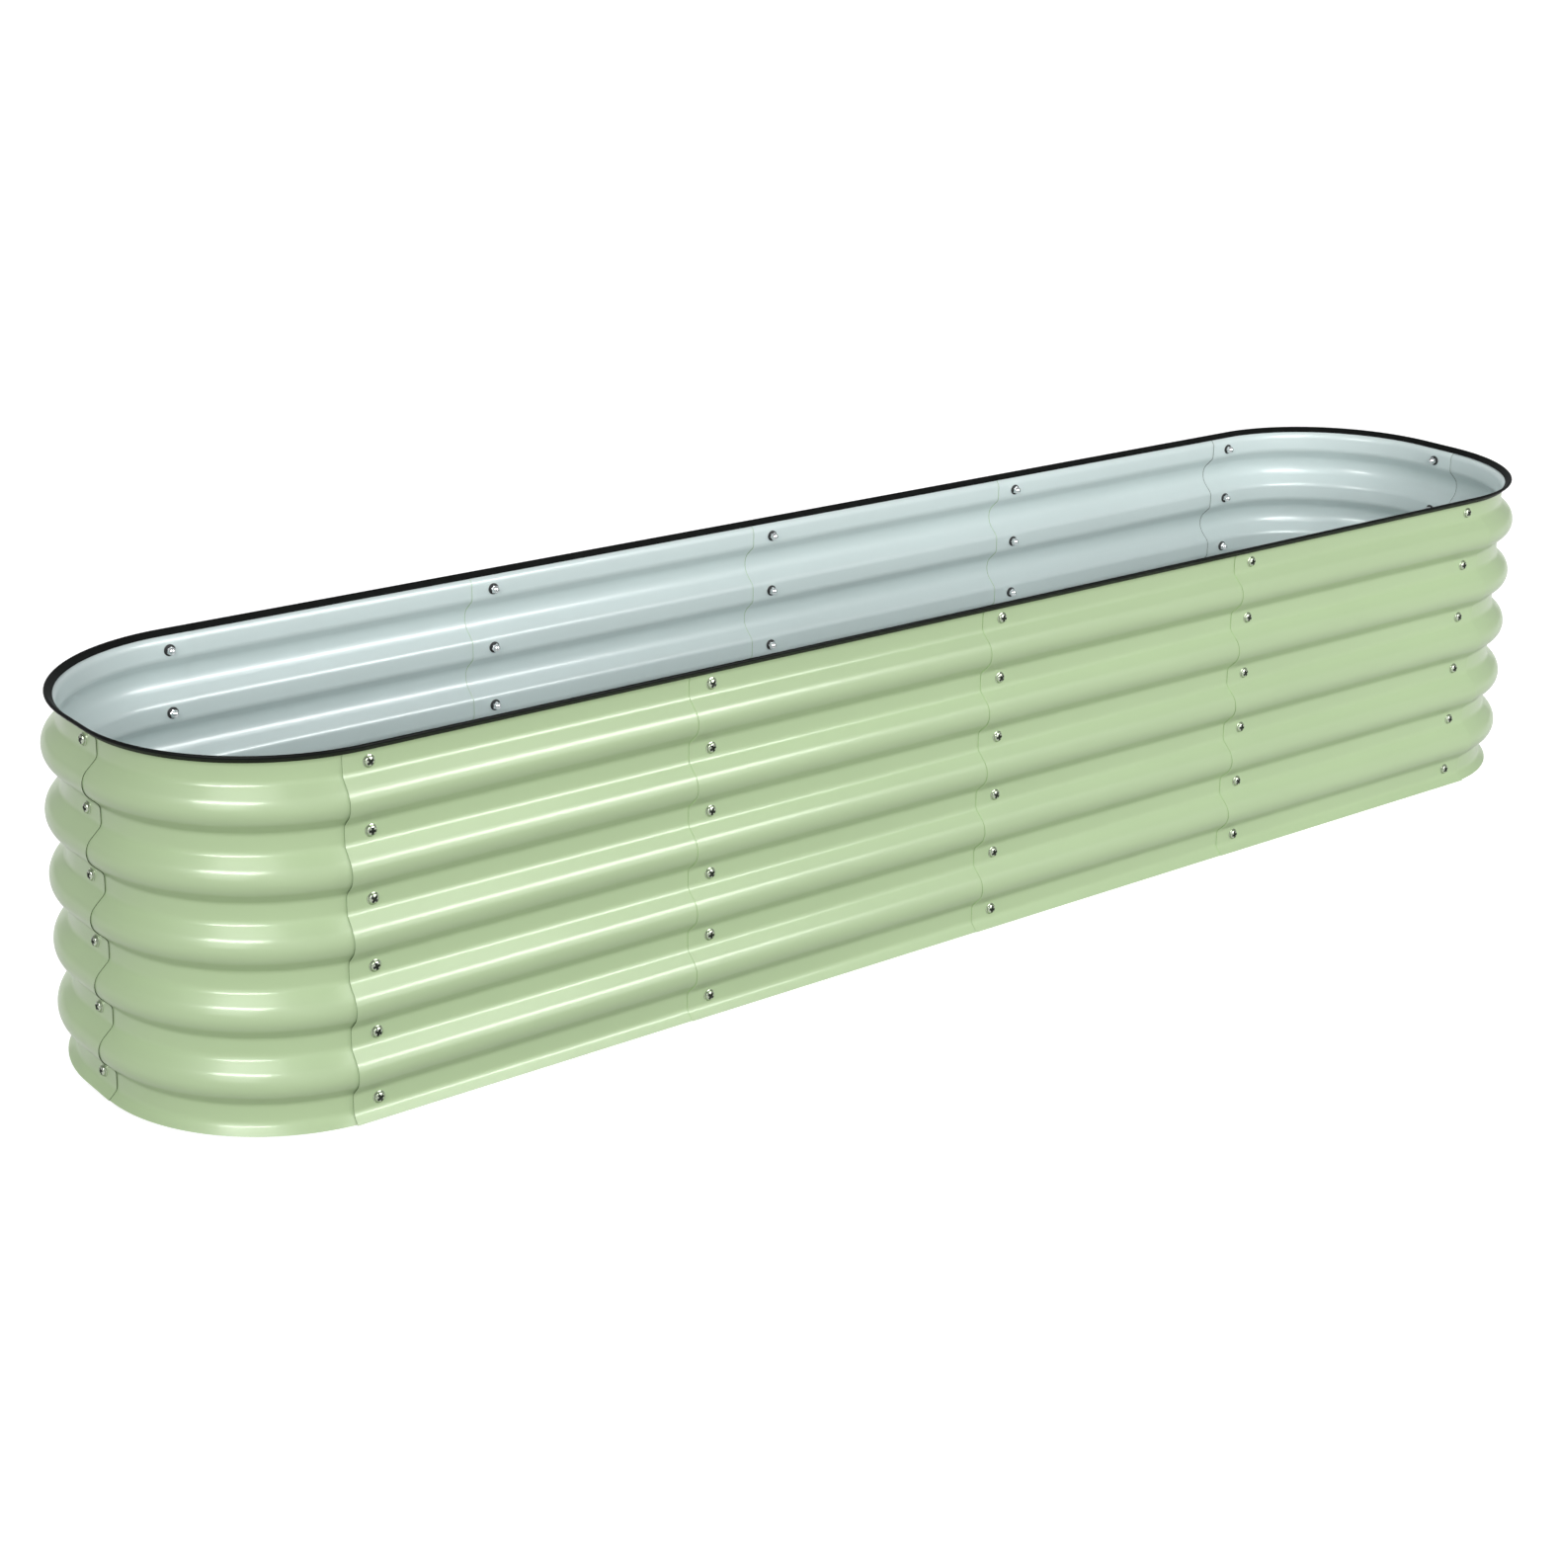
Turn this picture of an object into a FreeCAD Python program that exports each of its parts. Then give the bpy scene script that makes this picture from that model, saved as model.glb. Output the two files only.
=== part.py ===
import FreeCAD, Part
import math
import os

# Raised garden bed: a long oval ring of corrugated sheet panels, bolted together at twelve
# overlapping seams, with a rubber trim on the top edge and three ties between the long walls.
# Millimetres. Origin in the middle of the bed, on the ground. +X along the bed, +Z up.

DRIVING_SIZES = [
    ("waveRows", 6, "valleys of the corrugation, one bolt in each"),
    ("wavePitch", 77.5, "valley to valley"),
    ("waveDepth", 19, "valley to crest, on the outside"),
    ("seatFlat", 14, "flat bottom of a valley, where a bolt head sits"),
    ("valleyRadius", 10, "bend between the valley's flat and its flank"),
    ("crestRadius", 22, "round of a crest"),
    ("edgeMargin", 21.25, "outermost valley's middle to the edge of the sheet"),
    ("sheetThickness", 0.6, "coated steel sheet"),
    ("panelStep", 445, "seam to seam along a long side"),
    ("panelsPerSide", 4, "straight panels on each long side"),
    ("cornerRadius", 204, "round of a corner, at the bottom of a valley"),
    ("cornerBends", 6, "equal bends that turn a corner panel through a right angle"),
    ("sideFlat", 7, "seam on a long side to the start of the corner's round"),
    ("endFlat", 28, "end of the corner's round to the seam in the middle of the bed's end"),
    ("lapMargin", 31, "seam to the free edge of a panel"),
    ("lapGap", 0.45, "air between two lapped sheets, measured straight across"),
    ("seatGap", 0.05, "between a sheet and what is bolted to it, which lets a lapped panel lean"),
    ("boltDiameter", 6, "across the corners of the six-sided shank"),
    ("boltLength", 11, "under the head"),
    ("headDiameter", 15, "pan head, across the corners of its eight sides"),
    ("headHeight", 3.2, "pan head"),
    ("holeClearance", 0.5, "between a shank and its hole in the sheet, all round"),
    ("nutDiameter", 12, "domed nut, across the corners"),
    ("nutHeight", 11, "domed nut"),
    ("threadGap", 0.05, "between a shank and its nut, all round"),
    ("nutRelief", 1, "space past a shank's end in its nut"),
    ("trimLeg", 9, "length of trim below the sheet's edge, along the flank"),
    ("trimWall", 2, "rubber beside the sheet"),
    ("trimCap", 2.2, "rubber above the sheet's edge"),
    ("trimGap", 0.15, "between the trim's slot and the sheets in it"),
    ("trimChamfer", 1.3, "top corners of the trim"),
    ("braceRow", 3, "valley that carries the ties, counted from the ground"),
    ("braceWidth", 22, "flat steel tie"),
    ("braceThickness", 2, "flat steel tie"),
    ("braceTab", 22, "height of the tie's turned-up end"),
]

doc = FreeCAD.newDocument("raised_garden_bed")
sheet = doc.addObject("Spreadsheet::Sheet", "Sizes")
for row, (alias, value, note) in enumerate(DRIVING_SIZES, start=1):
    sheet.set(f"A{row}", alias)
    sheet.set(f"B{row}", str(value))
    sheet.set(f"C{row}", note)
    sheet.setAlias(f"B{row}", alias)
doc.recompute()
size = {alias: float(sheet.get(alias)) for alias, _, _ in DRIVING_SIZES}

# ---- sizes that follow from the sheet

rows = round(size["waveRows"])
panels_per_side = round(size["panelsPerSide"])
bends = round(size["cornerBends"])
thickness = size["sheetThickness"]
lap_step = thickness + size["lapGap"]
wall_height = (rows - 1) * size["wavePitch"] + 2 * size["edgeMargin"]
valley_heights = [size["edgeMargin"] + i * size["wavePitch"] for i in range(rows)]
half_run = panels_per_side * size["panelStep"] / 2
half_width = size["endFlat"] + size["cornerRadius"]
half_length = half_run + size["sideFlat"] + size["cornerRadius"]
seams_x = [-half_run + i * size["panelStep"] for i in range(panels_per_side + 1)]

UP = FreeCAD.Vector(0, 0, 1)
OUT = FreeCAD.Vector(0, 1, 0)
ALONG_Y = FreeCAD.Rotation(FreeCAD.Vector(1, 0, 0), -90)


def vec(x, y, z):
    return FreeCAD.Vector(x, y, z)


# ---- the corrugation, as (reach, height) points: reach is measured outwards from the valleys


def wave_arcs():
    """Valley radius, crest radius and the flank's slope from the upright, for the sheet's outside.

    The two arcs and the straight flank that touches both fill the height from the valley's flat
    to the crest. The radii shrink together where the wave has no room for them.
    """
    rise = size["wavePitch"] / 2 - size["seatFlat"] / 2
    depth = size["waveDepth"]
    largest = 0.98 * (rise**2 + depth**2) / (2 * depth)
    fit = min(1, largest / (size["valleyRadius"] + size["crestRadius"]))
    valley, crest = fit * size["valleyRadius"], fit * size["crestRadius"]
    across = valley + crest - depth
    slope = math.asin((valley + crest) / math.hypot(rise, across)) - math.atan2(across, rise)
    return valley, crest, slope


valley_radius, crest_radius, flank_slope = wave_arcs()


def wave_side(inset):
    """One side of the sheet from the ground to the top edge, inset from the outside surface.

    A crest is drawn with three flats that touch its round, the middle one upright, and the bend
    beside a valley's flat as the corner where the flat meets the flank.
    """
    turn = flank_slope / 4
    valley_reach = (valley_radius + inset) / math.cos(2 * turn)
    crest_reach = (crest_radius - inset) / math.cos(turn)
    points = []
    for i in range(-1, rows):
        foot = size["edgeMargin"] + i * size["wavePitch"] + size["seatFlat"] / 2
        crest = size["edgeMargin"] + (i + 0.5) * size["wavePitch"]
        head = foot + size["wavePitch"] - size["seatFlat"]
        bend = (valley_radius - valley_reach * math.cos(2 * turn), valley_reach * math.sin(2 * turn))
        points.append((bend[0], foot + bend[1]))
        for angle in (-3 * turn, -turn, turn, 3 * turn):
            points.append((size["waveDepth"] - crest_radius + crest_reach * math.cos(angle),
                           crest + crest_reach * math.sin(angle)))
        points.append((bend[0], head - bend[1]))
    return clip_to_wall(points)


def clip_to_wall(points):
    """The points between the ground and the top edge, with the line cut level at both."""
    kept = []
    for (reach_a, low), (reach_b, high) in zip(points, points[1:]):
        for level in (0, wall_height):
            if low < level < high:
                kept.append((reach_a + (reach_b - reach_a) * (level - low) / (high - low), level))
        if 0 < high < wall_height:
            kept.append((reach_b, high))
    return sorted(kept, key=lambda point: point[1])


sheet_section = wave_side(0) + wave_side(thickness)[::-1]
edge_reach = wave_side(0)[-1][0]


def trim_section():
    """The trim's slot is wide enough for two lapped sheets and leans with the flank that it grips."""
    along = (math.sin(flank_slope), math.cos(flank_slope))
    across = (math.cos(flank_slope), -math.sin(flank_slope))
    slot_in = -thickness - size["trimGap"]
    slot_out = lap_step * across[0] + size["trimGap"]
    slot_top = lap_step * along[0] + size["trimGap"]
    outer, inner = slot_out + size["trimWall"], slot_in - size["trimWall"]
    top = slot_top + size["trimCap"]
    foot, chamfer = -size["trimLeg"], size["trimChamfer"]
    corners = [
        (outer, foot), (outer, top - chamfer), (outer - chamfer, top), (inner + chamfer, top),
        (inner, top - chamfer), (inner, foot), (slot_in, foot), (slot_in, slot_top),
        (slot_out, slot_top), (slot_out, foot),
    ]
    return [(edge_reach + n * across[0] + s * along[0], wall_height + n * across[1] + s * along[1])
            for n, s in corners]


# ---- sweeping a section along the plan


def corner_rings(section, reach_shift=0):
    """The section at each bend of a corner, about the corner's own centre, from +X round to +Y."""
    turn = math.radians(90) / bends
    rings = []
    for i in range(bends):
        angle = (i + 0.5) * turn
        stretch = 1 / math.cos(turn / 2)
        ring = []
        for reach, height in section:
            radius = (size["cornerRadius"] + reach + reach_shift) * stretch
            ring.append(vec(radius * math.cos(angle), radius * math.sin(angle), height))
        rings.append(ring)
    return rings


def closed_wire(points):
    return Part.makePolygon(points + points[:1])


def flat_sided_solid(rings, closed=False):
    """A solid through rings of matching points, flat between each two neighbours."""
    faces = []
    followers = rings[1:] + rings[:1] if closed else rings[1:]
    for ring, next_ring in zip(rings, followers):
        for i in range(len(ring)):
            corners = [ring[i - 1], ring[i], next_ring[i], next_ring[i - 1]]
            faces.append(Part.Face(closed_wire(corners)))
    if not closed:
        faces += [Part.Face(closed_wire(rings[0])), Part.Face(closed_wire(rings[-1]))]
    shell = Part.makeShell(faces)
    shell.sewShape()
    solid = Part.Solid(shell)
    return solid if solid.Volume > 0 else solid.reversed()


def six_sided(diameter, length):
    """A six-sided bar along +Y from the origin, a flat side up."""
    ring = []
    for i in range(6):
        angle = math.radians(60 * i)
        ring.append(vec(diameter / 2 * math.cos(angle), 0, diameter / 2 * math.sin(angle)))
    return Part.Face(closed_wire(ring)).extrude(OUT * length)


def drilled(panel, places):
    """The panel with a bolt hole at each valley of each place: (x, y, direction outwards in degrees)."""
    hole_size = size["boltDiameter"] + 2 * size["holeClearance"]
    drill = six_sided(hole_size, size["waveDepth"])
    drill.translate(OUT * (-size["waveDepth"] / 2))
    holes = []
    for x, y, direction in places:
        for height in valley_heights:
            hole = drill.copy()
            hole.rotate(vec(0, 0, 0), UP, direction - 90)
            hole.translate(vec(x, y, height))
            holes.append(hole)
    return panel.cut(Part.makeCompound(holes))


def corner_panel_shape(first_flat, second_flat):
    """A corner panel about the centre of its round, from its flat facing +X to its flat facing +Y."""
    first = [vec(size["cornerRadius"] + reach, -first_flat - size["lapMargin"], height)
             for reach, height in sheet_section]
    last = [vec(-second_flat - size["lapMargin"], size["cornerRadius"] + reach, height)
            for reach, height in sheet_section]
    rings = [first] + corner_rings(sheet_section) + [last]
    panel = flat_sided_solid(rings)
    radius = size["cornerRadius"]
    return drilled(panel, [(radius, -first_flat, 0), (-second_flat, radius, 90)])


def trim_shape():
    """One closed loop of trim round the whole top edge."""
    centre_x, centre_y = half_length - size["cornerRadius"], half_width - size["cornerRadius"]
    quarter = corner_rings(trim_section())
    rings = []
    for side_x, side_y in ((1, 1), (-1, 1), (-1, -1), (1, -1)):
        for ring in quarter if side_x * side_y > 0 else quarter[::-1]:
            rings.append([vec(side_x * (p.x + centre_x), side_y * (p.y + centre_y), p.z) for p in ring])
    return flat_sided_solid(rings, closed=True)


# ---- document objects


def add_shape(name, shape, placement):
    """A sub-part whose form comes from the corrugation, which no sketch feature draws."""
    item = doc.addObject("Part::Feature", name)
    item.Label = name
    item.Shape = shape
    item.Placement = placement
    return item


def add_straight_panel():
    """The panel that all eight straight ones use: its valleys on the plane y = 0, its outside to +Y."""
    section = doc.addObject("Part::Feature", "sheet_section")
    section.Shape = Part.Face(closed_wire([vec(0, reach, height) for reach, height in sheet_section]))
    blank = doc.addObject("Part::Extrusion", "straight_blank")
    blank.Base = section
    blank.DirMode = "Custom"
    blank.Dir = vec(1, 0, 0)
    blank.setExpression("LengthFwd", "Sizes.panelStep / 2 + Sizes.lapMargin")
    blank.setExpression("LengthRev", "Sizes.panelStep / 2 + Sizes.lapMargin")
    blank.Solid = True
    holes = []
    for end in (-1, 1):
        for i in range(rows):
            hole = doc.addObject("Part::Prism", "straight_hole")
            hole.Polygon = 6
            hole.setExpression("Circumradius", "Sizes.boltDiameter / 2 + Sizes.holeClearance")
            hole.setExpression("Height", "Sizes.waveDepth")
            hole.Placement.Rotation = ALONG_Y
            hole.setExpression("Placement.Base.x", f"{end} * Sizes.panelStep / 2")
            hole.setExpression("Placement.Base.y", "-Sizes.waveDepth / 2")
            hole.setExpression("Placement.Base.z", f"Sizes.edgeMargin + {i} * Sizes.wavePitch")
            holes.append(hole)
    drill = doc.addObject("Part::Compound", "straight_holes")
    drill.Links = holes
    panel = doc.addObject("Part::Cut", "straight_panel")
    panel.Base = blank
    panel.Tool = drill
    doc.recompute()
    return panel


def add_panels():
    items = []
    shape = add_straight_panel().Shape
    # going round the bed the same way, the panel after a corner laps its neighbours outside at
    # both ends, and each other one starts inside its neighbour and ends outside the next
    for side, turn in (("back", 0), ("front", 180)):
        for i in range(panels_per_side):
            start, end = (lap_step if i == 0 else 0), lap_step
            lean = math.degrees(math.atan2(end - start, size["panelStep"]))
            middle = seams_x[i] + size["panelStep"] / 2
            stand = vec(middle, half_width + (start + end) / 2, 0)
            place = FreeCAD.Placement(stand, FreeCAD.Rotation(UP, lean))
            about = FreeCAD.Placement(vec(0, 0, 0), FreeCAD.Rotation(UP, turn))
            number = i + 1 if side == "back" else panels_per_side - i
            items.append(add_shape(f"{side}_panel_{number}", shape, about.multiply(place)))
    return items


def add_corners():
    items = []
    centre_x, centre_y = half_length - size["cornerRadius"], half_width - size["cornerRadius"]
    inner = corner_panel_shape(size["endFlat"], size["sideFlat"])
    # the outer one of each end stands one lap further out, and reaches that much further back
    outer = corner_panel_shape(size["sideFlat"] + lap_step, size["endFlat"])
    for name, shape, x, y, turn in (
        ("corner_panel_back_right", inner, centre_x, centre_y, 0),
        ("corner_panel_back_left", outer, -centre_x - lap_step, centre_y, 90),
        ("corner_panel_front_left", inner, -centre_x, -centre_y, 180),
        ("corner_panel_front_right", outer, centre_x + lap_step, -centre_y, 270),
    ):
        place = FreeCAD.Placement(vec(x, y, 0), FreeCAD.Rotation(UP, turn))
        items.append(add_shape(name, shape, place))
    return items


def add_bolt():
    """The bolt that every seam uses, its head's foot on the plane z = 0 and its shank downwards."""
    head = doc.addObject("Part::Prism", "bolt_head")
    head.Polygon = 8
    head.setExpression("Circumradius", "Sizes.headDiameter / 2")
    head.setExpression("Height", "Sizes.headHeight")
    shank = doc.addObject("Part::Prism", "bolt_shank")
    shank.Polygon = 6
    shank.setExpression("Circumradius", "Sizes.boltDiameter / 2")
    shank.setExpression("Height", "Sizes.boltLength")
    shank.setExpression("Placement.Base.z", "-Sizes.boltLength")
    bolt = doc.addObject("Part::Fuse", "bolt")
    bolt.Base = head
    bolt.Tool = shank
    return bolt


def add_nut():
    """The domed nut, its face on the plane z = 0, its body downwards and its blind hole open upwards."""
    body = doc.addObject("Part::Prism", "nut_body")
    body.Polygon = 6
    body.setExpression("Circumradius", "Sizes.nutDiameter / 2")
    body.setExpression("Height", "Sizes.nutHeight")
    body.setExpression("Placement.Base.z", "-Sizes.nutHeight")
    hole = doc.addObject("Part::Prism", "nut_hole")
    hole.Polygon = 6
    hole.setExpression("Circumradius", "Sizes.boltDiameter / 2 + Sizes.threadGap")
    hole.setExpression("Height", "Sizes.boltLength")
    stack = "2 * Sizes.sheetThickness + Sizes.lapGap + 2 * Sizes.seatGap"
    hole.setExpression("Placement.Base.z", f"{stack} - Sizes.boltLength - Sizes.nutRelief")
    nut = doc.addObject("Part::Cut", "nut")
    nut.Base = body
    nut.Tool = hole
    return nut


def column(piece, reach, braced_reach=None):
    """One copy of a fastener at each valley, facing +Y, its foot at the given reach."""
    copies = []
    for i, height in enumerate(valley_heights):
        copy = piece.Shape.copy()
        copy.rotate(vec(0, 0, 0), vec(1, 0, 0), -90)
        on_brace = braced_reach is not None and i == round(size["braceRow"]) - 1
        copy.translate(vec(0, braced_reach if on_brace else reach, height))
        copies.append(copy)
    return Part.makeCompound(copies)


def add_fasteners():
    bolt, nut = add_bolt(), add_nut()
    doc.recompute()
    inside = -thickness - size["seatGap"]
    bolts = column(bolt, lap_step + size["seatGap"])
    nuts = column(nut, inside)
    braced_nuts = column(nut, inside, inside - size["braceThickness"])
    seams = [("left_end", -half_length, 0, 90, False), ("right_end", half_length, 0, 270, False)]
    for i, x in enumerate(seams_x):
        braced = 0 < i < panels_per_side
        seams.append((f"back_{i + 1}", x, half_width, 0, braced))
        seams.append((f"front_{i + 1}", x, -half_width, 180, braced))
    items = []
    for name, x, y, turn, braced in seams:
        place = FreeCAD.Placement(vec(x, y, 0), FreeCAD.Rotation(UP, turn))
        items.append(add_shape(f"bolts_{name}", bolts, place))
        items.append(add_shape(f"nuts_{name}", braced_nuts if braced else nuts, place))
    return items


def add_brace(number, x):
    """A flat tie across the bed with its ends turned up against the walls."""
    name = f"cross_brace_{number}"
    span = doc.addObject("Part::Box", f"{name}_strip")
    span.setExpression("Length", "Sizes.braceWidth")
    inside = "2 * (Sizes.endFlat + Sizes.cornerRadius - Sizes.sheetThickness - Sizes.seatGap)"
    span.setExpression("Width", inside)
    span.setExpression("Height", "Sizes.braceThickness")
    parts = [span]
    for side, at in (("front", "0"), ("back", f"{inside} - Sizes.braceThickness")):
        tab = doc.addObject("Part::Box", f"{name}_{side}_tab")
        tab.setExpression("Length", "Sizes.braceWidth")
        tab.setExpression("Width", "Sizes.braceThickness")
        tab.setExpression("Height", "Sizes.braceTab")
        tab.setExpression("Placement.Base.y", at)
        parts.append(tab)
    solid = doc.addObject("Part::MultiFuse", f"{name}_blank")
    solid.Shapes = parts
    hole = doc.addObject("Part::Prism", f"{name}_hole")
    hole.Polygon = 6
    hole.setExpression("Circumradius", "Sizes.boltDiameter / 2 + Sizes.holeClearance")
    hole.setExpression("Height", inside)
    hole.Placement.Rotation = ALONG_Y
    hole.setExpression("Placement.Base.x", "Sizes.braceWidth / 2")
    hole.setExpression("Placement.Base.z", "Sizes.braceTab / 2 + Sizes.braceThickness / 2")
    brace = doc.addObject("Part::Cut", name)
    brace.Label = name
    brace.Base = solid
    brace.Tool = hole
    bolt_height = valley_heights[round(size["braceRow"]) - 1]
    foot = bolt_height - size["braceTab"] / 2 - size["braceThickness"] / 2
    corner = vec(x - size["braceWidth"] / 2, -half_width + thickness + size["seatGap"], foot)
    brace.Placement = FreeCAD.Placement(corner, FreeCAD.Rotation())
    return brace


subparts = add_panels() + add_corners()
subparts.append(add_shape("edge_trim", trim_shape(), FreeCAD.Placement()))
subparts += add_fasteners()
for number, seam_x in enumerate(seams_x[1:-1], start=1):
    subparts.append(add_brace(number, seam_x))

# ---- checks and files

doc.recompute()
for item in doc.Objects:
    if "Invalid" in item.State or "Error" in item.State:
        raise RuntimeError(f"{item.Label} did not recompute: {item.State}")
for item in subparts:
    if item.Shape.isNull() or not item.Shape.isValid() or not item.Shape.Solids:
        raise RuntimeError(f"{item.Label} has no valid solid")

os.makedirs("parts", exist_ok=True)
for item in subparts:
    item.Shape.exportStep(os.path.join("parts", f"{item.Label}.step"))
    box = item.Shape.BoundBox
    print(f"{item.Label:26s} solids {len(item.Shape.Solids)}  volume {item.Shape.Volume:10.1f}  "
          f"z {box.ZMin:7.2f} to {box.ZMax:7.2f}")
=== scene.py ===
import math

import bmesh
import bpy
from mathutils import Matrix, Vector


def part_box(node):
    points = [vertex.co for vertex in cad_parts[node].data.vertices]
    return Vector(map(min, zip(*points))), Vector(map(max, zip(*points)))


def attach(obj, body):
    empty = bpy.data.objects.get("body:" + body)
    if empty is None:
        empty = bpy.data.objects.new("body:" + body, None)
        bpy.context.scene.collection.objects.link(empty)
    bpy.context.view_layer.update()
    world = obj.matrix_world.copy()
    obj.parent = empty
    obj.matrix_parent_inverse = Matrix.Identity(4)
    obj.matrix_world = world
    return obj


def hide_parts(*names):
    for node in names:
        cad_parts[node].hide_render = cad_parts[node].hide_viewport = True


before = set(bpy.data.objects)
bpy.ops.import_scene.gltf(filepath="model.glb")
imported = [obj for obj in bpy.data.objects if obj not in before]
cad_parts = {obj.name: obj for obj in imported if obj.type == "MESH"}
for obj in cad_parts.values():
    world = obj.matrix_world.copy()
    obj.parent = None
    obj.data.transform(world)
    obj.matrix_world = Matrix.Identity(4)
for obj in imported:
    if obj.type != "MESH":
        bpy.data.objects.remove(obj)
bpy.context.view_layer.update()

# A raised garden bed: a long oval ring of corrugated sheet panels, bolted at twelve lapped seams.
# Metres. Origin in the middle of the bed, on the ground. +X along the bed, +Z up.

# ---- sizes, as in the solids

WALL_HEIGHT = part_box("front_panel_2")[1].z
ROWS = 6
PITCH = 0.0775
DEPTH = 0.019
SEAT_FLAT = 0.014
VALLEY_RADIUS = 0.010
CREST_RADIUS = 0.022
SHEET = 0.0006
PANEL_STEP = 0.445
PANELS = 4
CORNER_RADIUS = 0.204
SIDE_FLAT = 0.007
END_FLAT = 0.028
LAP_MARGIN = 0.031
LAP_GAP = 0.00045
SEAT_GAP = 0.00005
BRACE_ROW = 3
BRACE_THICKNESS = 0.002

EDGE_MARGIN = (WALL_HEIGHT - (ROWS - 1) * PITCH) / 2
ROW_HEIGHTS = [EDGE_MARGIN + row * PITCH for row in range(ROWS)]
LAP_STEP = SHEET + LAP_GAP
RUN = PANELS * PANEL_STEP
ARC = CORNER_RADIUS * math.pi / 2
END_TO_SIDE = END_FLAT + ARC + SIDE_FLAT
HALF_RING = 2 * END_TO_SIDE + RUN
HALF_LENGTH = RUN / 2 + SIDE_FLAT + CORNER_RADIUS
HALF_WIDTH = END_FLAT + CORNER_RADIUS

# seams by their place round the ring, from the middle of the left end along the front wall
SEAMS = {"left_end": 0.0, "right_end": HALF_RING}
for number in range(1, PANELS + 2):
    SEAMS[f"front_{number}"] = END_TO_SIDE + (number - 1) * PANEL_STEP
    SEAMS[f"back_{number}"] = 2 * HALF_RING - END_TO_SIDE - (number - 1) * PANEL_STEP

# ---- sizes of what only the look needs

# the trim: play round the sheet, wall, cap, leg down the sheet and the round of its top corners
TRIM_PLAY, TRIM_WALL, TRIM_CAP, TRIM_LEG, TRIM_ROUND = 0.00015, 0.0013, 0.0018, 0.0075, 0.0018
# the flaps are held in above this distance from the top edge, and let go over the fade
FLAP_HELD, FLAP_FADE = 0.012, 0.022
# longest steps along the ring, on the rounds and on the straights
ROUND_STEP, STRAIGHT_STEP = 0.0075, 0.030
SMOOTH_ANGLE = math.radians(35)

# turned forms, as (radius, height) in millimetres from the axis back to the axis
BOLT_FOOT = [(0, -10), (2.6, -10), (2.9, -9.6), (2.9, 0), (7.2, 0), (7.4, 0.2), (7.3, 0.8),
             (6.7, 1.1), (6.3, 0.8), (6.1, 0.9), (6.1, 1.6)]
DOME_RADIUS, DOME_FOOT, HEAD_HEIGHT, DOME_SQUARENESS = 6.1, 1.6, 4.4, 0.6
# the cross recess: length and width of each arm, at its floor and above the head
RECESS_FLOOR, RECESS_MOUTH = 1.8, 5.0
ARM_LENGTHS, ARM_WIDTHS = (5.2, 10.4), (2.2, 3.4)
NUT_WASHER = [(0, 0), (7.0, 0), (7.2, 0.3), (7.2, 1.0), (6.9, 1.3), (0, 1.3)]
NUT_HEXAGON = [(0, 1.3), (5.2, 1.3), (5.6, 1.7), (5.6, 5.0), (5.0, 5.5), (0, 5.5)]
NUT_DOME_RADIUS, NUT_DOME_FOOT, NUT_DOME_CENTRE, NUT_DOME_RISE = 4.7, 5.0, 5.8, 5.0


# ---- the corrugation and the ring that it follows


def flank_slope():
    """The lean of the flanks that join the valleys' rounds to the crests' rounds."""
    rise = PITCH / 2 - SEAT_FLAT / 2
    reach = VALLEY_RADIUS + CREST_RADIUS
    across = reach - DEPTH
    return math.asin(reach / math.hypot(rise, across)) - math.atan2(across, rise)


SLOPE = flank_slope()


def wave_profile(valley_steps=7, crest_steps=18):
    """The sheet's outside from the ground up: (reach, height, normal's reach, normal's height)."""
    points = []
    for row in range(-1, ROWS):
        valley = EDGE_MARGIN + row * PITCH + SEAT_FLAT / 2
        crest = EDGE_MARGIN + (row + 0.5) * PITCH
        next_valley = EDGE_MARGIN + (row + 1) * PITCH - SEAT_FLAT / 2
        for k in range(valley_steps + 1):
            a = SLOPE * k / valley_steps
            points.append((VALLEY_RADIUS * (1 - math.cos(a)), valley + VALLEY_RADIUS * math.sin(a),
                           math.cos(a), -math.sin(a)))
        for k in range(crest_steps + 1):
            a = SLOPE * (2 * k / crest_steps - 1)
            points.append((DEPTH - CREST_RADIUS * (1 - math.cos(a)),
                           crest + CREST_RADIUS * math.sin(a), math.cos(a), math.sin(a)))
        for k in range(valley_steps, -1, -1):
            a = SLOPE * k / valley_steps
            points.append((VALLEY_RADIUS * (1 - math.cos(a)),
                           next_valley - VALLEY_RADIUS * math.sin(a), math.cos(a), math.sin(a)))
    return clipped(points)


def clipped(points):
    """The points between the ground and the top edge, with one added on each."""
    kept = []
    for a, b in zip(points, points[1:]):
        for level in (0.0, WALL_HEIGHT):
            if a[1] < level < b[1]:
                t = (level - a[1]) / (b[1] - a[1])
                kept.append((a[0] + t * (b[0] - a[0]), level, a[2], a[3]))
        if 0.0 < b[1] < WALL_HEIGHT:
            kept.append(b)
    return sorted(kept, key=lambda point: point[1])


PROFILE = wave_profile()
EDGE_REACH = PROFILE[-1][0]


def outside_point(point):
    return point[:2]


def inside_point(point):
    """The sheet's inside, opposite a point of its outside, level with it at the two cut edges."""
    reach, height, n_reach, n_height = point
    if height in (0.0, WALL_HEIGHT):
        return reach - SHEET / math.cos(SLOPE), height
    return reach - SHEET * n_reach, height - SHEET * n_height


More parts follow.
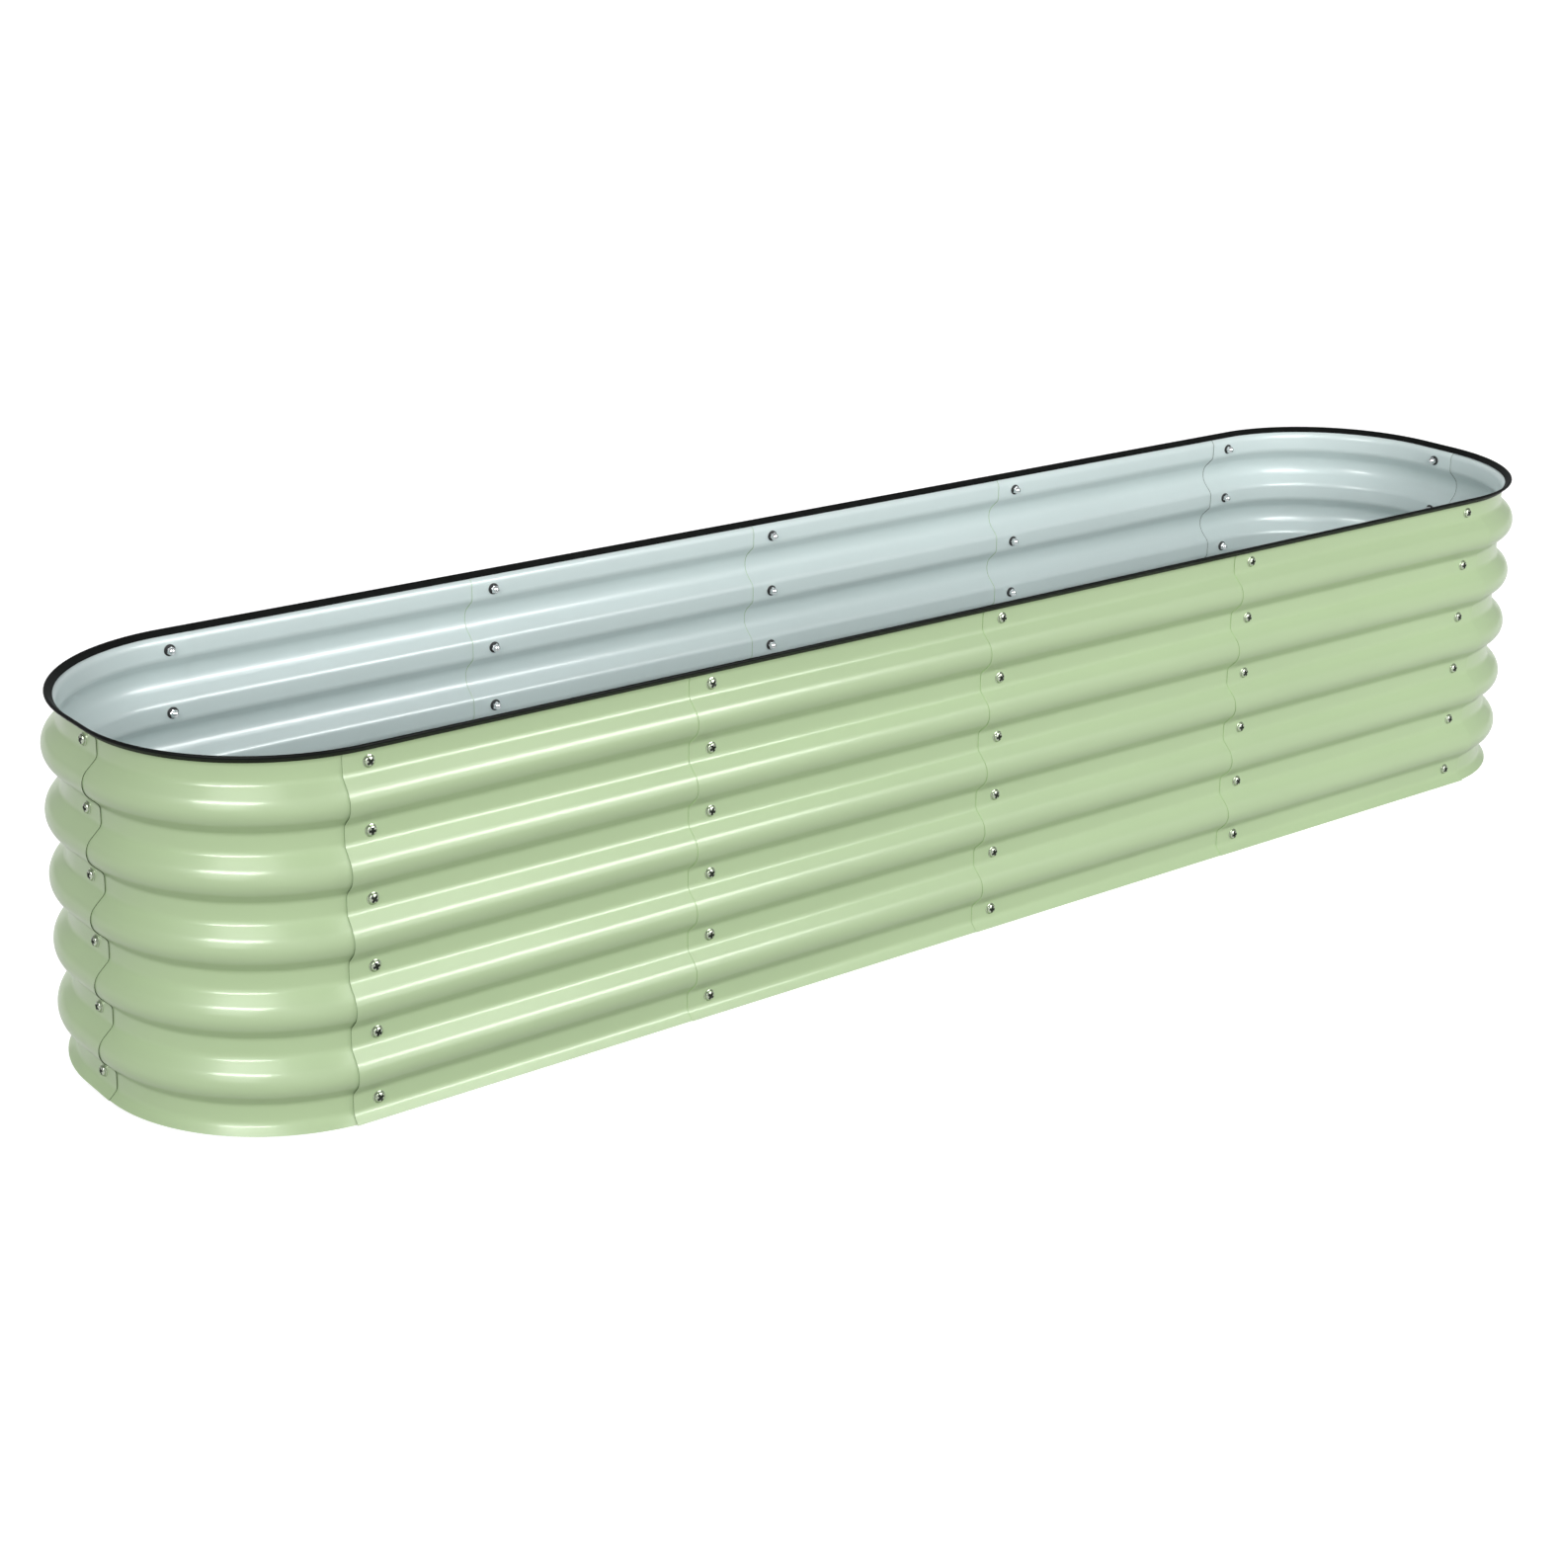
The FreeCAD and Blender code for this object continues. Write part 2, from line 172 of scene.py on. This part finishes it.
def ring(s):
    """Place and outward direction on the valleys' line, s metres round from the left end's middle."""
    s %= 2 * HALF_RING
    on_back_half = s >= HALF_RING
    if on_back_half:
        s -= HALF_RING
    cx, cy = HALF_LENGTH - CORNER_RADIUS, HALF_WIDTH - CORNER_RADIUS
    if s <= END_FLAT:
        place, out = (-HALF_LENGTH, -s), (-1.0, 0.0)
    elif s < END_FLAT + ARC:
        a = (s - END_FLAT) / CORNER_RADIUS
        out = (-math.cos(a), -math.sin(a))
        place = (-cx + CORNER_RADIUS * out[0], -cy + CORNER_RADIUS * out[1])
    elif s <= HALF_RING - END_FLAT - ARC:
        place, out = (s - END_TO_SIDE - RUN / 2, -HALF_WIDTH), (0.0, -1.0)
    elif s < HALF_RING - END_FLAT:
        a = (s - (HALF_RING - END_FLAT - ARC)) / CORNER_RADIUS
        out = (math.sin(a), -math.cos(a))
        place = (cx + CORNER_RADIUS * out[0], -cy + CORNER_RADIUS * out[1])
    else:
        place, out = (HALF_LENGTH, s - HALF_RING), (1.0, 0.0)
    if on_back_half:
        place, out = (-place[0], -place[1]), (-out[0], -out[1])
    return Vector((*place, 0)), Vector((*out, 0))


def stations(start, end):
    """Steps along the ring: short ones on the rounds, long ones on the straights."""
    rounds = []
    for turn in range(-1, 3):
        base = turn * HALF_RING
        rounds += [(base + END_FLAT, base + END_FLAT + ARC),
                   (base + HALF_RING - END_FLAT - ARC, base + HALF_RING - END_FLAT)]
    cuts = sorted({start, end} | {mark for pair in rounds for mark in pair if start < mark < end})
    steps = [start]
    for a, b in zip(cuts, cuts[1:]):
        on_round = any(low < (a + b) / 2 < high for low, high in rounds)
        count = max(1, math.ceil((b - a) / (ROUND_STEP if on_round else STRAIGHT_STEP)))
        steps += [a + (b - a) * k / count for k in range(1, count + 1)]
    return steps


# ---- meshes


def new_object(name, mesh):
    obj = bpy.data.objects.new(name, mesh)
    bpy.context.scene.collection.objects.link(obj)
    return obj


def finish_mesh(mesh):
    mesh.validate()
    for polygon in mesh.polygons:
        polygon.use_smooth = True
    mesh.set_sharp_from_angle(angle=SMOOTH_ANGLE)


def flap_lift(s, start, end):
    """How far a straight panel's flat flap stands off the round of the corner that it laps."""
    if abs(end - start - PANEL_STEP) > 0.001:
        return 0.0
    past = max(start - s, s - end) - SIDE_FLAT
    flat, out = ring(start)
    place, _ = ring(s)
    return abs((place - flat).dot(out)) if past > 0 else 0.0


def flap_share(height):
    """The share of that lift at a height: the trim holds the flap down near the top edge."""
    return min(1, max(0, (WALL_HEIGHT - FLAP_HELD - height) / FLAP_FADE))


def panel_object(name, start, end, start_step, end_step, edges):
    """One sheet between two seams, with its laps, standing out by the given steps at its two ends.

    The two edges are the materials of the sheet's cut ends; a dark one is painted shade of the gap
    under a lap.
    """
    verts, faces, slots = [], [], []
    steps = stations(start - LAP_MARGIN, end + LAP_MARGIN)
    for s in steps:
        place, out = ring(s)
        t = min(1, max(0, (s - start) / (end - start)))
        off = start_step + (end_step - start_step) * t
        lift = flap_lift(s, start, end)
        for surface_point in (outside_point, inside_point):
            for point in PROFILE:
                reach, height = surface_point(point)
                out_by = off + lift * flap_share(point[1]) + reach
                verts.append(place + out * out_by + Vector((0, 0, height)))
    n = len(PROFILE)

    def face(a, b, c, d, slot):
        faces.append((a, b, c, d))
        slots.append(slot)

    for i in range(len(steps) - 1):
        here, there = i * 2 * n, (i + 1) * 2 * n
        for k in range(n - 1):
            face(here + k, there + k, there + k + 1, here + k + 1, 0)
            face(here + n + k + 1, there + n + k + 1, there + n + k, here + n + k, 1)
        face(here + n, there + n, there, here, 0)
        face(here + n - 1, there + n - 1, there + 2 * n - 1, here + 2 * n - 1, 0)
    last = (len(steps) - 1) * 2 * n
    for k in range(n - 1):
        face(k + 1, n + k + 1, n + k, k, 2)
        face(last + k, last + n + k, last + n + k + 1, last + k + 1, 3)
    mesh = bpy.data.meshes.new(name)
    mesh.from_pydata([tuple(v) for v in verts], [], faces)
    for material in (PAINT_OUT, PAINT_IN, *edges):
        mesh.materials.append(material)
    mesh.polygons.foreach_set("material_index", slots)
    finish_mesh(mesh)
    return new_object(name, mesh)


def trim_section(round_steps=6):
    """The trim's section as (reach, height), leaning with the sheet's top edge, its top rounded."""
    slot_in = -SHEET - TRIM_PLAY
    slot_out = LAP_STEP * math.cos(SLOPE) + TRIM_PLAY
    slot_top = LAP_STEP * math.sin(SLOPE) + TRIM_PLAY
    outer, inner, top = slot_out + TRIM_WALL, slot_in - TRIM_WALL, slot_top + TRIM_CAP
    points = [(outer, -TRIM_LEG)]
    for centre, first in ((outer - TRIM_ROUND, 0), (inner + TRIM_ROUND, 90)):
        for k in range(round_steps + 1):
            a = math.radians(first + 90 * k / round_steps)
            points.append((centre + TRIM_ROUND * math.cos(a),
                           top - TRIM_ROUND + TRIM_ROUND * math.sin(a)))
    points += [(inner, -TRIM_LEG), (slot_in, -TRIM_LEG), (slot_in, slot_top),
               (slot_out, slot_top), (slot_out, -TRIM_LEG)]
    lean_reach, lean_rise = math.sin(SLOPE), math.cos(SLOPE)
    return [(EDGE_REACH + across * lean_rise + up * lean_reach,
             WALL_HEIGHT - across * lean_reach + up * lean_rise) for across, up in points]


def trim_object(name):
    section = trim_section()
    steps = stations(0, 2 * HALF_RING)[:-1]
    n, m = len(section), len(steps)
    verts, faces = [], []
    for s in steps:
        place, out = ring(s)
        verts += [tuple(place + out * reach + Vector((0, 0, height))) for reach, height in section]
    for i in range(m):
        here, there = i * n, (i + 1) % m * n
        for k in range(n):
            j = (k + 1) % n
            faces.append((here + k, there + k, there + j, here + j))
    mesh = bpy.data.meshes.new(name)
    mesh.from_pydata(verts, [], faces)
    mesh.materials.append(RUBBER)
    finish_mesh(mesh)
    return new_object(name, mesh)


def turned(profile, sides=32, slot=0):
    """A closed turned form about +Z, from (radius, height) points in millimetres."""
    bm = bmesh.new()
    rings = []
    for radius, height in profile:
        if radius == 0:
            rings.append([bm.verts.new((0, 0, height / 1000))])
        else:
            angles = [2 * math.pi * i / sides for i in range(sides)]
            rings.append([bm.verts.new((radius / 1000 * math.cos(a), radius / 1000 * math.sin(a),
                                        height / 1000)) for a in angles])
    for low, high in zip(rings, rings[1:]):
        for i in range(sides):
            j = (i + 1) % sides
            if len(low) == 1:
                face = bm.faces.new((low[0], high[j], high[i]))
            elif len(high) == 1:
                face = bm.faces.new((low[i], low[j], high[0]))
            else:
                face = bm.faces.new((low[i], low[j], high[j], high[i]))
            face.material_index = slot
    return bm


def recess_cutter():
    """Two crossed bars that narrow downwards, in the slot of the recess's painted shade."""
    bm = bmesh.new()
    for turn in (0, 90):
        bar = bmesh.ops.create_cube(bm, size=1)["verts"]
        for v in bar:
            above = v.co.z > 0
            v.co.x *= ARM_LENGTHS[above] / 1000
            v.co.y *= ARM_WIDTHS[above] / 1000
            v.co.z = (RECESS_MOUTH if above else RECESS_FLOOR) / 1000
        bmesh.ops.rotate(bm, verts=bar, matrix=Matrix.Rotation(math.radians(turn), 3, "Z"))
    for face in bm.faces:
        face.material_index = 1
    return bm


def bolt_mesh():
    """A pan head with a washer face and a cross recess, on its shank: the head's seat on z = 0."""
    profile = list(BOLT_FOOT)
    for k in range(1, 10):
        a = math.radians(9 * k)
        profile.append((DOME_RADIUS * math.cos(a) ** DOME_SQUARENESS,
                        DOME_FOOT + (HEAD_HEIGHT - DOME_FOOT) * math.sin(a)))
    profile.append((0, HEAD_HEIGHT))
    parts = []
    for name, bm in (("bolt_blank", turned(profile)), ("bolt_cutter", recess_cutter())):
        mesh = bpy.data.meshes.new(name)
        bm.to_mesh(mesh)
        mesh.materials.append(BOLT_STEEL)
        mesh.materials.append(RECESS_PAINTED_SHADE)
        parts.append(new_object(name, mesh))
    blank, cutter = parts
    cut = blank.modifiers.new("recess", "BOOLEAN")
    cut.operation = "DIFFERENCE"
    cut.solver = "EXACT"
    cut.use_self = True
    cut.object = cutter
    depsgraph = bpy.context.evaluated_depsgraph_get()
    done = bpy.data.meshes.new_from_object(blank.evaluated_get(depsgraph))
    for obj in parts:
        bpy.data.objects.remove(obj)
    return done


def nut_mesh():
    """A domed nut on a dark ring: its foot on z = 0, its dome upwards."""
    dome = [(0, NUT_DOME_FOOT), (NUT_DOME_RADIUS, NUT_DOME_FOOT)]
    for k in range(9):
        a = math.radians(10 * k)
        dome.append((NUT_DOME_RADIUS * math.cos(a), NUT_DOME_CENTRE + NUT_DOME_RISE * math.sin(a)))
    dome.append((0, NUT_DOME_CENTRE + NUT_DOME_RISE))
    bm = turned(NUT_WASHER, slot=1)
    for profile, sides in ((NUT_HEXAGON, 6), (dome, 28)):
        mesh = bpy.data.meshes.new("nut_part")
        turned(profile, sides).to_mesh(mesh)
        bm.from_mesh(mesh)
    mesh = bpy.data.meshes.new("nut_template")
    bm.to_mesh(mesh)
    return mesh


def fastener_row(name, template, seam, reaches, outwards, materials):
    """One fastener at each valley of a seam, at its own reach and turned by its own angle."""
    place, out = ring(SEAMS[seam])
    stand = (out if outwards else -out).to_track_quat("Z", "Y").to_matrix().to_4x4()
    bm = bmesh.new()
    for row, (height, reach) in enumerate(zip(ROW_HEIGHTS, reaches)):
        twist = Matrix.Rotation(math.radians(37 * row + 11 * len(seam) + 53 * place.x), 4, "Z")
        copy = template.copy()
        copy.transform(Matrix.Translation(place + out * reach + Vector((0, 0, height))) @ stand @ twist)
        bm.from_mesh(copy)
        bpy.data.meshes.remove(copy)
    mesh = bpy.data.meshes.new(name)
    bm.to_mesh(mesh)
    for material in materials:
        mesh.materials.append(material)
    finish_mesh(mesh)
    return new_object(name, mesh)


# ---- materials


def srgb(r, g, b):
    """Linear colour from the 0-255 values of a picture."""
    shares = [v / 255 for v in (r, g, b)]
    return (*(v / 12.92 if v <= 0.04045 else ((v + 0.055) / 1.055) ** 2.4 for v in shares), 1)


def shade(colour, factor):
    return (*(c * factor for c in colour[:3]), 1)


class Surface:
    """A material whose shader is fed by noise in the object's own coordinates."""

    def __init__(self, name):
        self.material = bpy.data.materials.new(name)
        self.material.use_nodes = True
        self.nodes, self.links = self.material.node_tree.nodes, self.material.node_tree.links
        self.shader = self.nodes["Principled BSDF"]
        self.coordinates = self.nodes.new("ShaderNodeTexCoord")

    def noise(self, scale, detail=3, roughness=0.5, stretch=(1, 1, 1)):
        mapping = self.nodes.new("ShaderNodeMapping")
        mapping.inputs["Scale"].default_value = stretch
        texture = self.nodes.new("ShaderNodeTexNoise")
        texture.inputs["Scale"].default_value = scale
        texture.inputs["Detail"].default_value = detail
        texture.inputs["Roughness"].default_value = roughness
        self.links.new(self.coordinates.outputs["Object"], mapping.inputs["Vector"])
        self.links.new(mapping.outputs["Vector"], texture.inputs["Vector"])
        return texture.outputs["Fac"]

    def bump(self, value, strength, distance, under=None):
        node = self.nodes.new("ShaderNodeBump")
        node.inputs["Strength"].default_value = strength
        node.inputs["Distance"].default_value = distance
        self.links.new(value, node.inputs["Height"])
        if under:
            self.links.new(under, node.inputs["Normal"])
        return node.outputs["Normal"]

    def feed_colour(self, value, low, low_colour, high, high_colour):
        """The base colour, from one colour at the low value to the other at the high one."""
        node = self.nodes.new("ShaderNodeValToRGB")
        ends = node.color_ramp.elements
        ends[0].position, ends[0].color = low, low_colour
        ends[1].position, ends[1].color = high, high_colour
        self.links.new(value, node.inputs["Fac"])
        self.links.new(node.outputs["Color"], self.shader.inputs["Base Color"])

    def feed_roughness(self, value, low, high):
        node = self.nodes.new("ShaderNodeMapRange")
        node.inputs["To Min"].default_value = low
        node.inputs["To Max"].default_value = high
        self.links.new(value, node.inputs["Value"])
        self.links.new(node.outputs["Result"], self.shader.inputs["Roughness"])

    def feed_normal(self, value, *sockets):
        for socket in sockets:
            self.links.new(value, self.shader.inputs[socket])


def paint(name, colour, roughness):
    """Baked paint on sheet steel: faint colour drift, orange peel and the sheet's slight waves."""
    surface = Surface(name)
    drift = surface.noise(2.2, detail=4, stretch=(1, 1, 3))
    surface.feed_colour(drift, 0.25, shade(colour, 0.965), 0.75, shade(colour, 1.03))
    surface.feed_roughness(surface.noise(26, detail=5, roughness=0.6),
                           roughness - 0.05, roughness + 0.06)
    waves = surface.bump(surface.noise(7, detail=2, stretch=(1, 1, 2.5)), 0.12, 0.004)
    peel = surface.bump(surface.noise(650, detail=2), 0.05, 0.0004, under=waves)
    surface.feed_normal(peel, "Normal", "Coat Normal")
    surface.shader.inputs["Coat Weight"].default_value = 0.55
    surface.shader.inputs["Coat Roughness"].default_value = 0.17
    surface.shader.inputs["Specular IOR Level"].default_value = 0.35
    return surface.material


def rubber(name, colour, roughness, specular=0.3):
    """A dull surface without grain, also for cut edges and for painted shade on cut ends and in
    recesses.
    """
    surface = Surface(name)
    surface.feed_colour(surface.noise(60, detail=4), 0.3, colour, 0.75, shade(colour, 1.9))
    surface.feed_roughness(surface.noise(35, detail=4), roughness - 0.08, roughness + 0.1)
    surface.feed_normal(surface.bump(surface.noise(420, detail=3), 0.15, 0.0004), "Normal")
    surface.shader.inputs["Specular IOR Level"].default_value = specular
    return surface.material


def steel(name, colour, roughness, grain=(1, 1, 1)):
    surface = Surface(name)
    surface.feed_colour(surface.noise(90, detail=4), 0.3, shade(colour, 0.82), 0.7, colour)
    surface.feed_roughness(surface.noise(160, detail=4, stretch=grain),
                           roughness - 0.05, roughness + 0.12)
    fine = surface.noise(900, detail=2, stretch=grain)
    surface.feed_normal(surface.bump(fine, 0.08, 0.0002), "Normal")
    surface.shader.inputs["Metallic"].default_value = 1
    return surface.material


PAINT_OUT = paint("paint_green", srgb(180, 202, 158), 0.42)
PAINT_IN = paint("paint_pale_grey", srgb(211, 224, 223), 0.40)
# the cut ends' green, darker than the paint: partly the edge's own paint, partly painted shade of the
# seams' gaps
CUT_EDGE = rubber("cut_edge", srgb(150, 176, 124), 0.6)
# painted shade: the dark line of the gap under a lapping sheet's free end, painted on that cut end
PAINTED_SHADE_EDGE = rubber("cut_edge_painted_shade", srgb(38, 48, 30), 0.7, specular=0.1)
RUBBER = rubber("rubber_black", srgb(11, 13, 12), 0.42, specular=0.07)
# a dark ring under each domed nut
NUT_FOOT_DARK = rubber("nut_foot_dark", srgb(38, 40, 40), 0.5)
# the bolt heads' steel is darker and greener than the nuts': painted shade and painted reflection of
# the green walls
BOLT_STEEL = steel("steel_plated_painted_reflection", (0.54, 0.60, 0.48, 1), 0.17)
# painted shade: the cross recess in each bolt head is coloured dark
RECESS_PAINTED_SHADE = rubber("recess_painted_shade", srgb(30, 36, 28), 0.5)
NUT_STEEL = steel("steel_polished", (0.82, 0.83, 0.84, 1), 0.12)
BRACE_STEEL = steel("steel_galvanised", (0.60, 0.62, 0.64, 1), 0.42, grain=(1, 0.1, 1))


# ---- the pieces

for side, base in (("front", 0.0), ("back", HALF_RING)):
    for k in range(PANELS):
        # the last panel along each side laps its neighbours outside at both ends
        end_step = LAP_STEP if k == PANELS - 1 else 0.0
        first = base + END_TO_SIDE + k * PANEL_STEP
        number = k + 1 if side == "front" else PANELS - k
        # the first sheet of each side laps the corner at its start: that cut end is painted dark, as
        # painted shade of the gap
        edges = (PAINTED_SHADE_EDGE if k == 0 else CUT_EDGE, CUT_EDGE)
        made = panel_object(f"{side}_sheet_{number}", first, first + PANEL_STEP,
                            LAP_STEP, end_step, edges)
        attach(made, "root")
        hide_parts(f"{side}_panel_{number}")

for name, start, end, end_step in (
    ("front_left", 0.0, END_TO_SIDE, 0.0),
    ("front_right", HALF_RING - END_TO_SIDE, HALF_RING, LAP_STEP),
    ("back_right", HALF_RING, HALF_RING + END_TO_SIDE, 0.0),
    ("back_left", 2 * HALF_RING - END_TO_SIDE, 2 * HALF_RING, LAP_STEP),
):
    # both cut ends of a corner sheet are painted dark, as painted shade of the gaps at their laps
    made = panel_object(f"corner_sheet_{name}", start, end, 0.0, end_step, (PAINTED_SHADE_EDGE, PAINTED_SHADE_EDGE))
    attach(made, "root")
    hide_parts(f"corner_panel_{name}")

trim = trim_object("edge_trim_rubber")
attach(trim, "root")
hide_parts("edge_trim")

BOLT, NUT = bolt_mesh(), nut_mesh()
for seam in SEAMS:
    head_reaches = [LAP_STEP + SEAT_GAP] * ROWS
    nut_reaches = [-SHEET - SEAT_GAP] * ROWS
    if seam[-1].isdigit() and 1 < int(seam[-1]) <= PANELS:
        nut_reaches[BRACE_ROW - 1] -= BRACE_THICKNESS
    heads = fastener_row(f"pan_heads_{seam}", BOLT, seam, head_reaches, True, [BOLT_STEEL, RECESS_PAINTED_SHADE])
    domes = fastener_row(f"domed_nuts_{seam}", NUT, seam, nut_reaches, False, [NUT_STEEL, NUT_FOOT_DARK])
    for piece, node, slot in ((heads, f"bolts_{seam}", "bolt_steel"),
                              (domes, f"nuts_{seam}", "nut_steel")):
        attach(piece, "root")
        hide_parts(node)

for number in range(1, PANELS):
    for material_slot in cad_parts[f"cross_brace_{number}"].material_slots:
        material_slot.material = BRACE_STEEL


# ---- floor, world and lamps

FLOOR_BOUNCE = 0.14
FLOOR_IN_REFLECTIONS = 0.8
FLOOR_GLOW = 0.72
FLOOR_DROP = 0.0005
SKY_LOW = (0.38, 0.385, 0.39)
SKY_HIGH = (0.40, 0.405, 0.41)


def floor_object():
    """A plain floor: white to the eye, a little greyer in reflections, and grey in its bounce."""
    bm = bmesh.new()
    bmesh.ops.create_grid(bm, x_segments=1, y_segments=1, size=40)
    mesh = bpy.data.meshes.new("floor")
    bm.to_mesh(mesh)
    obj = new_object("floor", mesh)
    obj.location.z = -FLOOR_DROP
    material = bpy.data.materials.new("floor_paper")
    material.use_nodes = True
    nodes, links = material.node_tree.nodes, material.node_tree.links
    nodes.clear()
    path = nodes.new("ShaderNodeLightPath")
    seen = nodes.new("ShaderNodeMath")
    seen.operation = "MULTIPLY_ADD"
    seen.inputs[1].default_value = FLOOR_IN_REFLECTIONS
    links.new(path.outputs["Is Glossy Ray"], seen.inputs[0])
    links.new(path.outputs["Is Camera Ray"], seen.inputs[2])
    grey = nodes.new("ShaderNodeBsdfDiffuse")
    grey.inputs["Color"].default_value = (FLOOR_BOUNCE, FLOOR_BOUNCE, FLOOR_BOUNCE, 1)
    # half paint and half glow, so that the object's shadow still shows
    white = nodes.new("ShaderNodeBsdfDiffuse")
    white.inputs["Color"].default_value = (0.5, 0.5, 0.5, 1)
    glow = nodes.new("ShaderNodeEmission")
    glow.inputs["Strength"].default_value = FLOOR_GLOW
    both = nodes.new("ShaderNodeAddShader")
    links.new(white.outputs[0], both.inputs[0])
    links.new(glow.outputs[0], both.inputs[1])
    mix = nodes.new("ShaderNodeMixShader")
    links.new(seen.outputs[0], mix.inputs["Fac"])
    links.new(grey.outputs[0], mix.inputs[1])
    links.new(both.outputs[0], mix.inputs[2])
    output = nodes.new("ShaderNodeOutputMaterial")
    links.new(mix.outputs[0], output.inputs["Surface"])
    mesh.materials.append(material)


def make_world():
    """White to the eye, and to the object a soft sky that is slightly brighter overhead."""
    world = bpy.data.worlds.new("studio")
    bpy.context.scene.world = world
    world.use_nodes = True
    nodes, links = world.node_tree.nodes, world.node_tree.links
    nodes.clear()
    coordinates = nodes.new("ShaderNodeTexCoord")
    split = nodes.new("ShaderNodeSeparateXYZ")
    links.new(coordinates.outputs["Generated"], split.inputs[0])
    ramp = nodes.new("ShaderNodeValToRGB")
    first, last = ramp.color_ramp.elements
    first.position, first.color = 0.0, (*SKY_LOW, 1)
    last.position, last.color = 0.7, (*SKY_HIGH, 1)
    links.new(split.outputs["Z"], ramp.inputs["Fac"])
    sky = nodes.new("ShaderNodeBackground")
    links.new(ramp.outputs["Color"], sky.inputs["Color"])
    sky.inputs["Strength"].default_value = 1
    white = nodes.new("ShaderNodeBackground")
    white.inputs["Color"].default_value = (1, 1, 1, 1)
    path = nodes.new("ShaderNodeLightPath")
    mix = nodes.new("ShaderNodeMixShader")
    links.new(path.outputs["Is Camera Ray"], mix.inputs["Fac"])
    links.new(sky.outputs[0], mix.inputs[1])
    links.new(white.outputs[0], mix.inputs[2])
    output = nodes.new("ShaderNodeOutputWorld")
    links.new(mix.outputs[0], output.inputs["Surface"])


def lamp_object(name, data, direction):
    obj = bpy.data.objects.new(name, data)
    obj.rotation_mode = "QUATERNION"
    obj.rotation_quaternion = Vector(direction).to_track_quat("-Z", "Y")
    bpy.context.scene.collection.objects.link(obj)
    return obj


def softbox(name, place, target, width, height, radiance):
    """A rectangular lamp, as bright as its radiance says whatever its size."""
    data = bpy.data.lights.new(name, "AREA")
    data.shape = "RECTANGLE"
    data.size, data.size_y = width, height
    data.energy = radiance * math.pi * width * height
    obj = lamp_object(name, data, Vector(target) - Vector(place))
    obj.location = place
    return obj


def soft_sun(name, direction, strength):
    """A distant lamp, spread wide, that never shows as a reflection."""
    data = bpy.data.lights.new(name, "SUN")
    data.energy = strength
    data.angle = math.radians(60)
    lamp_object(name, data, direction).visible_glossy = False


floor_object()
make_world()

# the strips and glows only show as reflections: the pale lines and sheens along the waves
FRONT, LEFT_END = (0.00, 0.0, 0.30), (-1.05, -0.20, 0.33)
for name, place, target, width, height, radiance in (
    ("front_strip", (0.70, -2.00, 1.76), FRONT, 1.20, 0.60, 15),
    ("front_glow", (0.55, -2.30, 1.75), FRONT, 1.30, 3.20, 4.0),
    ("upper_glow", (0.55, -1.55, 2.32), (-0.40, -0.20, 0.33), 1.30, 1.50, 0.8),
    ("left_strip", (-2.13, -0.92, 1.76), LEFT_END, 1.10, 0.40, 23),
    ("left_glow", (-2.30, -1.05, 1.85), LEFT_END, 1.10, 3.00, 3.0),
):
    softbox(name, place, target, width, height, radiance).visible_diffuse = False
softbox("side_fill", (2.20, -2.40, 1.30), (0.60, 0.0, 0.20), 1.60, 1.60, 1.9).visible_glossy = False
soft_sun("soft_key", (0.50, 0.80, -0.22), 2.75)
soft_sun("soft_back", (-0.32, -0.84, -0.42), 1.9)


# ---- camera, fitted to the photograph: its size, and the lens and centre in its pixels

PHOTO_WIDTH, PHOTO_HEIGHT = 1578, 1587
FOCAL, CENTRE_X, CENTRE_Y = 2823.0, 800.0, 640.0
AZIMUTH, ELEVATION, ROLL = math.radians(-38.270), math.radians(17.321), math.radians(0.983)
CAMERA_PLACE = (-2.24300, -2.65556, 1.41173)


def make_camera():
    toward = Vector((math.sin(AZIMUTH) * math.cos(ELEVATION),
                     -math.cos(AZIMUTH) * math.cos(ELEVATION), math.sin(ELEVATION)))
    right = (-toward).cross(Vector((0, 0, 1))).normalized()
    up = right.cross(-toward)
    rolled_right = math.cos(ROLL) * right + math.sin(ROLL) * up
    rolled_up = -math.sin(ROLL) * right + math.cos(ROLL) * up
    data = bpy.data.cameras.new("photo_camera")
    data.sensor_fit = "AUTO"
    data.sensor_width = 36
    data.lens = FOCAL / PHOTO_HEIGHT * data.sensor_width
    data.shift_x = (PHOTO_WIDTH / 2 - CENTRE_X) / PHOTO_HEIGHT
    data.shift_y = (CENTRE_Y - PHOTO_HEIGHT / 2) / PHOTO_HEIGHT
    data.clip_end = 100
    camera = bpy.data.objects.new("photo_camera", data)
    axes = Matrix((rolled_right, rolled_up, toward)).transposed().to_4x4()
    camera.matrix_world = Matrix.Translation(CAMERA_PLACE) @ axes
    bpy.context.scene.collection.objects.link(camera)
    bpy.context.scene.camera = camera


make_camera()
bpy.context.scene.view_settings.view_transform = "Standard"
